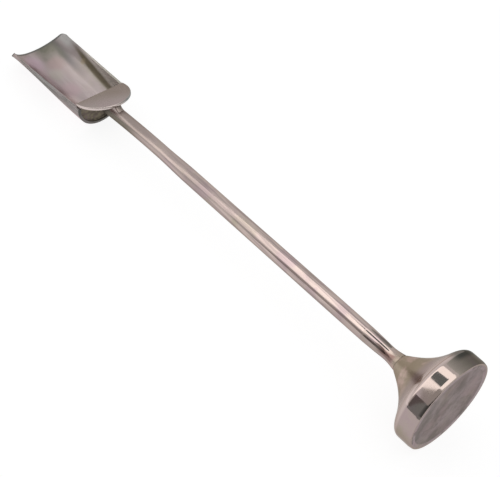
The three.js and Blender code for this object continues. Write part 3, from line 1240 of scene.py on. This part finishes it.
def white_floor():
    """A pale floor that looks white and keeps the scoop's soft shadow."""
    mesh = bpy.data.meshes.new("floor")
    half = FLOOR_HALF
    mesh.from_pydata(
        [(-half, -half, 0), (half, -half, 0), (half, half, 0), (-half, half, 0)],
        [],
        [(0, 1, 2, 3)],
    )
    floor = bpy.data.objects.new("floor", mesh)
    bpy.context.scene.collection.objects.link(floor)
    material = bpy.data.materials.new("white_paper")
    material.use_nodes = True
    tree = material.node_tree
    tree.nodes.clear()
    out = tree.nodes.new("ShaderNodeOutputMaterial")
    paper = tree.nodes.new("ShaderNodeBsdfDiffuse")
    paper.inputs["Color"].default_value = FLOOR_TONE
    glow = tree.nodes.new("ShaderNodeEmission")
    lift = tree.nodes.new("ShaderNodeMath")
    lift.operation = "MULTIPLY"
    lift.inputs[1].default_value = FLOOR_GLOW
    tree.links.new(seen_or_mirrored(tree), lift.inputs[0])
    tree.links.new(lift.outputs[0], glow.inputs["Strength"])
    both = tree.nodes.new("ShaderNodeAddShader")
    tree.links.new(paper.outputs[0], both.inputs[0])
    tree.links.new(glow.outputs[0], both.inputs[1])
    tree.links.new(both.outputs[0], out.inputs["Surface"])
    mesh.materials.append(material)


def world_light():
    """Soft even light, and plain white where the world itself is seen or mirrored."""
    world = bpy.data.worlds.new("studio")
    bpy.context.scene.world = world
    world.use_nodes = True
    tree = world.node_tree
    tree.nodes.clear()
    out = tree.nodes.new("ShaderNodeOutputWorld")
    soft = tree.nodes.new("ShaderNodeBackground")
    soft.inputs["Color"].default_value = WHITE
    soft.inputs["Strength"].default_value = WORLD_STRENGTH
    white = tree.nodes.new("ShaderNodeBackground")
    white.inputs["Color"].default_value = WHITE
    white.inputs["Strength"].default_value = 1
    mix = tree.nodes.new("ShaderNodeMixShader")
    tree.links.new(seen_or_mirrored(tree), mix.inputs[0])
    tree.links.new(soft.outputs[0], mix.inputs[1])
    tree.links.new(white.outputs[0], mix.inputs[2])
    tree.links.new(mix.outputs[0], out.inputs["Surface"])


def with_hole(outer, hole):
    """Points and faces of a flat polygon round a hole, for from_pydata."""
    shape = bmesh.new()
    rings = []
    for loop in (outer, hole):
        verts = [shape.verts.new(p) for p in loop]
        rings += [shape.edges.new((a, b)) for a, b in zip(verts, verts[1:] + verts[:1])]
    bmesh.ops.triangle_fill(shape, edges=rings, use_beauty=True)
    shape.verts.index_update()
    points = [tuple(v.co) for v in shape.verts]
    faces = [tuple(v.index for v in f.verts) for f in shape.faces]
    shape.free()
    return points, [], faces


def panel(name, corners, colour, strength, fade=None, hole=None):
    """A flat glowing stage panel that only shows in the metal.

    fade is (axis, place, strength, place, strength) and takes the place of one strength.
    """
    mesh = bpy.data.meshes.new(name)
    if hole is None:
        mesh.from_pydata(corners, [], [tuple(range(len(corners)))])
    else:
        mesh.from_pydata(*with_hole(corners, hole))
    card = bpy.data.objects.new(name, mesh)
    bpy.context.scene.collection.objects.link(card)
    material = bpy.data.materials.new(name)
    material.use_nodes = True
    tree = material.node_tree
    tree.nodes.clear()
    out = tree.nodes.new("ShaderNodeOutputMaterial")
    glow = tree.nodes.new("ShaderNodeEmission")
    glow.inputs["Color"].default_value = (*colour, 1)
    glow.inputs["Strength"].default_value = strength
    if fade:
        axis, low, start, high, end = fade
        place = tree.nodes.new("ShaderNodeTexCoord")
        apart = tree.nodes.new("ShaderNodeSeparateXYZ")
        across = tree.nodes.new("ShaderNodeMapRange")
        across.inputs["From Min"].default_value = low
        across.inputs["From Max"].default_value = high
        across.inputs["To Min"].default_value = start
        across.inputs["To Max"].default_value = end
        tree.links.new(place.outputs["Object"], apart.inputs[0])
        tree.links.new(apart.outputs[axis], across.inputs["Value"])
        tree.links.new(across.outputs[0], glow.inputs["Strength"])
    tree.links.new(glow.outputs[0], out.inputs["Surface"])
    mesh.materials.append(material)
    card.visible_camera = False
    card.visible_shadow = False
    card.visible_diffuse = False


def level(height, *places):
    """Corners of a card that lies flat at a height."""
    return [(x, y, height) for x, y in places]


def standing(left, right, height):
    """Corners of a card that stands on the floor between two places."""
    return level(0, left, right) + level(height, right, left)


def rounded(places, cut):
    """The same outline, with each corner rounded off."""
    found = []
    for i, place in enumerate(places):
        found += corner(places[i - 1], place, places[(i + 1) % len(places)], cut)
    return found


HOLE = rounded(((0.035, 0.05), (-0.133, -0.022), (-0.13, -0.17), (0.035, -0.19)), HOLE_ROUND)
NEAR_FLOOR = rounded(
    ((0.03, -0.17), (-0.1, NEAR_Y), (0.45, NEAR_Y), (0.45, -0.17)), NEAR_FLOOR_ROUND
)

white_floor()
world_light()
panel(
    "window",
    level(
        LIGHT_HEIGHT,
        (0.2, 0.12),
        (0.185, 0.155),
        (0.15, 0.165),
        (-0.04, 0.165),
        (-0.21, 0.13),
        (-0.3, -0.12),
        (-0.45, -0.36),
        (-0.85, -0.8),
        (-1.7, -1.9),
        (-1.2, -1.75),
        (-0.6, -1.05),
        (-0.28, -0.68),
        (-0.12, -0.46),
        (-0.04, -0.25),
        (0.05, -0.22),
        (0.2, -0.2),
    ),
    (1, 0.985, 0.965),
    2.5,
    fade=("X", -0.45, 1.75, -0.15, 2.3),
    hole=level(LIGHT_HEIGHT, *HOLE),
)
panel("window_middle", level(LIGHT_HEIGHT + LIGHT_GAP, *HOLE), (0.88, 1, 1), 0.3)
panel(
    "near_shade",
    level(
        LIGHT_HEIGHT,
        (0.3, -0.21),
        (0.05, -0.225),
        (-0.04, -0.255),
        (-0.12, -0.465),
        (-0.28, -1.2),
        (0.3, -1.2),
    ),
    (1, 0.97, 0.94),
    0.6,
)
panel(
    "far_shade",
    [(0, FAR_Y, 0), (0.5, FAR_Y, 0), (0.5, FAR_Y, FAR_HEIGHT), (-0.13, FAR_Y, FAR_HEIGHT)],
    GREENISH,
    0.3,
    fade=("Z", 0.12, 0.33, 0.6, 0.75),
)
panel(
    "floor_shade",
    level(LOW_HEIGHT, (0.07, 0.045), (0, FAR_Y), (0.5, FAR_Y), (0.5, 0.045)),
    GREENISH,
    0.3,
    fade=("Y", 0.05, 0.5, 0.2, 0.36),
)
panel("near_floor_shade", level(LOW_HEIGHT, *NEAR_FLOOR), COOL, 0.36)
panel(
    "edge_shade",
    level(LIGHT_HEIGHT, (0.27, -0.26), (0.27, -1.3), (0.8, -1.3), (0.8, -0.26)),
    (0.9, 1, 1),
    0.06,
)
panel(
    "near_card_left",
    standing((-0.27, NEAR_Y), (-0.125, NEAR_Y), NEAR_HEIGHT),
    (1, 0.95, 0.92),
    0.55,
)
panel(
    "near_card_middle",
    standing((-0.125, NEAR_Y), (-0.07, NEAR_Y), NEAR_HEIGHT),
    (1, 0.9, 0.88),
    0.2,
)
panel(
    "near_card_right",
    standing((-0.07, NEAR_Y), (0.45, NEAR_Y), NEAR_HEIGHT),
    (0.93, 1, 1),
    0.2,
    fade=("X", 0.0, 0.36, 0.24, 0.09),
)
panel(
    "bounce_card",
    level(LOW_HEIGHT, (-0.085, -0.012), (0.05, -0.012), (-0.06, -0.4), (-0.27, -0.4)),
    (1, 0.99, 1),
    1.22,
)
panel("right_card", standing((0.6, -0.45), (0.6, -0.02), 0.22), COOL, 0.08)
panel("left_card", standing((-0.7, -0.3), (-0.7, 0.9), 0.25), (1, 0.95, 0.87), 0.74)

view = bpy.data.cameras.new("camera")
view.lens = CAMERA_LENS
view.sensor_width = CAMERA_SENSOR
view.sensor_fit = "HORIZONTAL"
view.clip_start, view.clip_end = CAMERA_CLIP
camera = bpy.data.objects.new("camera", view)
camera.location = CAMERA_PLACE
camera.rotation_euler = [math.radians(a) for a in CAMERA_TURN]
bpy.context.scene.collection.objects.link(camera)
bpy.context.scene.camera = camera
bpy.context.scene.view_settings.view_transform = "Standard"

bpy.context.view_layer.update()
